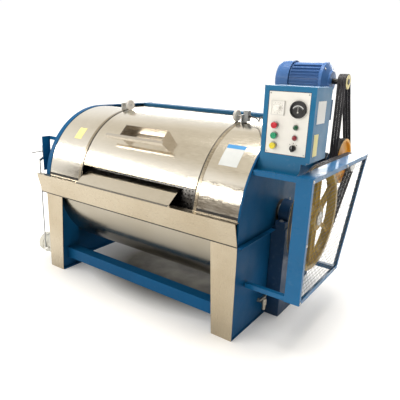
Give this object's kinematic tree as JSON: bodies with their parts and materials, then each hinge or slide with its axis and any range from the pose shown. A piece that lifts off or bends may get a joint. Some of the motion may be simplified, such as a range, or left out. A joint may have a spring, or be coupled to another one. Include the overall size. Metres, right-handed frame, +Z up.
{
  "type": "industrial washing machine",
  "caption": "Horizontal-drum laundry washer: stainless tub and sliding curved door between painted end plates, belt-driven drum with guarded wheel, roof motor and side control box.",
  "frame": {"origin": "On the floor, in the middle of the four anchor holes in the floor plates.", "axes": "+X along the drum towards the belt drive, +Y from the loading side to the back, +Z up."},
  "size_m": [2.312, 1.415, 1.694],
  "materials": {
    "blue_paint": "semi-gloss enamel, a little scuffed at the edges",
    "guard_blue": "semi-gloss enamel on thin sheet",
    "stainless_polished": "fine polished stainless sheet",
    "stainless_brushed": "brushed stainless sheet",
    "drum_stainless": "perforated stainless sheet",
    "cast_dark": "dark painted casting",
    "shaft_steel": "turned steel",
    "yellow_paint": "gloss enamel on cast iron",
    "belt_rubber": "matt rubber with fabric",
    "motor_blue": "satin enamel on cast body",
    "panel_white": "white laminated panel, bare of print",
    "meter_black": "black moulded case",
    "needle_red": "thin painted pointer",
    "timer_white": "pale moulded face",
    "lamp_lens": "ribbed clear-coloured lens",
    "trim_grey": "satin collars and screws",
    "button_red": "moulded cap",
    "button_green": "moulded cap",
    "button_yellow": "moulded cap",
    "knob_black": "moulded knob",
    "roller_white": "nylon",
    "switch_grey": "moulded housing",
    "cable_black": "sheathed cable",
    "lever_grey": "bare bright steel",
    "brass": "cast and machined brass",
    "seal_black": "moulded seal"
  },
  "bodies": {
    "frame": {"end_plate_left": "blue_paint", "end_plate_right": "blue_paint", "front_fascia": "stainless_brushed", "leg_covers": "stainless_brushed", "front_legs": "blue_paint", "floor_plates": "blue_paint", "cross_rails": "blue_paint", "tub_trough": "stainless_brushed", "tub_ends": "stainless_brushed", "tub_back_wall": "stainless_brushed", "top_cover": "stainless_brushed", "shell_left": "stainless_polished", "shell_right": "stainless_polished", "door_tracks": "stainless_brushed", "shaft_seals": "seal_black", "bearing_pedestals": "blue_paint", "shaft_bearings": "cast_dark", "layshaft_bracket": "blue_paint", "motor_belts": "belt_rubber", "drum_belts": "belt_rubber", "motor_frame": "motor_blue", "motor_fan_cowl": "motor_blue", "motor_platform": "blue_paint", "guard_frame": "guard_blue", "guard_mesh": "guard_blue", "side_angle": "blue_paint", "control_box": "blue_paint", "control_panel": "panel_white", "current_meter": "meter_black", "cycle_timer": "timer_white", "panel_lamps": "lamp_lens", "panel_trim": "trim_grey", "box_bracket": "blue_paint", "roller_lugs": "switch_grey", "door_switch": "switch_grey", "switch_cable": "cable_black", "drain_pipe": "stainless_brushed", "lever_bracket": "blue_paint", "test_cock": "brass"},
    "door": {"door_skin": "stainless_polished", "door_handle": "stainless_brushed"},
    "flap": {"loading_flap": "stainless_polished"},
    "guide_rollers": {"guide_rollers": "roller_white"},
    "drum": {"drum_shell": "drum_stainless", "drum_heads": "drum_stainless", "drum_wheel": "yellow_paint"},
    "drum_door": {"drum_door": "drum_stainless"},
    "layshaft": {"layshaft": "shaft_steel", "layshaft_large_pulley": "yellow_paint"},
    "motor_rotor": {"motor_rotor": "shaft_steel", "motor_pulley": "yellow_paint"},
    "button_red": {"button_red": "button_red"},
    "button_green": {"button_green": "button_green"},
    "button_yellow": {"button_yellow": "button_yellow"},
    "selector": {"selector_knob": "knob_black"},
    "needle": {"meter_needle": "needle_red"},
    "drain_lever": {"drain_lever": "lever_grey"},
    "link_rod": {"link_rod": "lever_grey"},
    "drain_disc": {"drain_disc": "lever_grey"},
    "cock_handle": {"cock_handle": "brass"}
  },
  "joints": [
    {"name": "drum_spin", "type": "hinge", "parent": "frame", "child": "drum", "pos_m": [0, -0.038, 0.718], "axis": [1, 0, 0], "continuous": true},
    {"name": "layshaft_spin", "type": "hinge", "parent": "frame", "child": "layshaft", "pos_m": [0, 0.588, 0.992], "axis": [1, 0, 0], "continuous": true},
    {"name": "motor_spin", "type": "hinge", "parent": "frame", "child": "motor_rotor", "pos_m": [0, 0.456, 1.562], "axis": [1, 0, 0], "continuous": true},
    {"name": "drum_door_slide", "type": "hinge", "parent": "drum", "child": "drum_door", "pos_m": [0, -0.038, 0.718], "axis": [-1, 0, 0], "range_deg": [0, 58]},
    {"name": "door_slide", "type": "hinge", "parent": "frame", "child": "door", "pos_m": [0, -0.038, 0.718], "axis": [-1, 0, 0], "range_deg": [0, 50]},
    {"name": "guide_roller_spin", "type": "hinge", "parent": "frame", "child": "guide_rollers", "pos_m": [0, -0.098, 1.31931], "axis": [1, 0, 0], "range_deg": [0, 744.74]},
    {"name": "flap_fold", "type": "hinge", "parent": "frame", "child": "flap", "pos_m": [0, -0.647, 0.7833], "axis": [1, 0, 0], "range_deg": [0, 140]},
    {"name": "button_red_press", "type": "slide", "parent": "frame", "child": "button_red", "axis": [0, 1, 0], "range_m": [0, 0.005], "stiffness_N_per_m": 600},
    {"name": "button_green_press", "type": "slide", "parent": "frame", "child": "button_green", "axis": [0, 1, 0], "range_m": [0, 0.005], "stiffness_N_per_m": 600},
    {"name": "button_yellow_press", "type": "slide", "parent": "frame", "child": "button_yellow", "axis": [0, 1, 0], "range_m": [0, 0.005], "stiffness_N_per_m": 600},
    {"name": "selector_turn", "type": "hinge", "parent": "frame", "child": "selector", "pos_m": [1.07736, -0.4205, 1.208], "axis": [0, 1, 0], "range_deg": [-45, 45]},
    {"name": "needle_swing", "type": "hinge", "parent": "frame", "child": "needle", "pos_m": [1.08834, -0.43, 1.40284], "axis": [0, 1, 0], "range_deg": [-40, 40], "stiffness_Nm_per_rad": 0.002},
    {"name": "drain_lever_turn", "type": "hinge", "parent": "frame", "child": "drain_lever", "pos_m": [-0.965, -0.548, 0.895], "axis": [-1, 0, 0], "range_deg": [0, 60]},
    {"name": "link_rod_slide", "type": "slide", "parent": "frame", "child": "link_rod", "axis": [0, 0, 1], "range_m": [0, 0.044]},
    {"name": "drain_disc_turn", "type": "hinge", "parent": "frame", "child": "drain_disc", "pos_m": [-0.94, -0.5, 0.13], "axis": [0, 1, 0], "range_deg": [0, 60]},
    {"name": "cock_handle_turn", "type": "hinge", "parent": "frame", "child": "cock_handle", "pos_m": [0.916, -0.27, 0.17], "axis": [0, 0, 1], "range_deg": [0, 90]}
  ],
  "couplings": [
    {"joint": "layshaft_spin", "follows": "drum_spin", "ratio": 5.0735},
    {"joint": "motor_spin", "follows": "drum_spin", "ratio": 16.844},
    {"joint": "guide_roller_spin", "follows": "door_slide", "ratio": 14.895},
    {"joint": "link_rod_slide", "follows": "drain_lever_turn", "m_per_rad": 0.042017},
    {"joint": "drain_disc_turn", "follows": "drain_lever_turn", "ratio": 1}
  ]
}
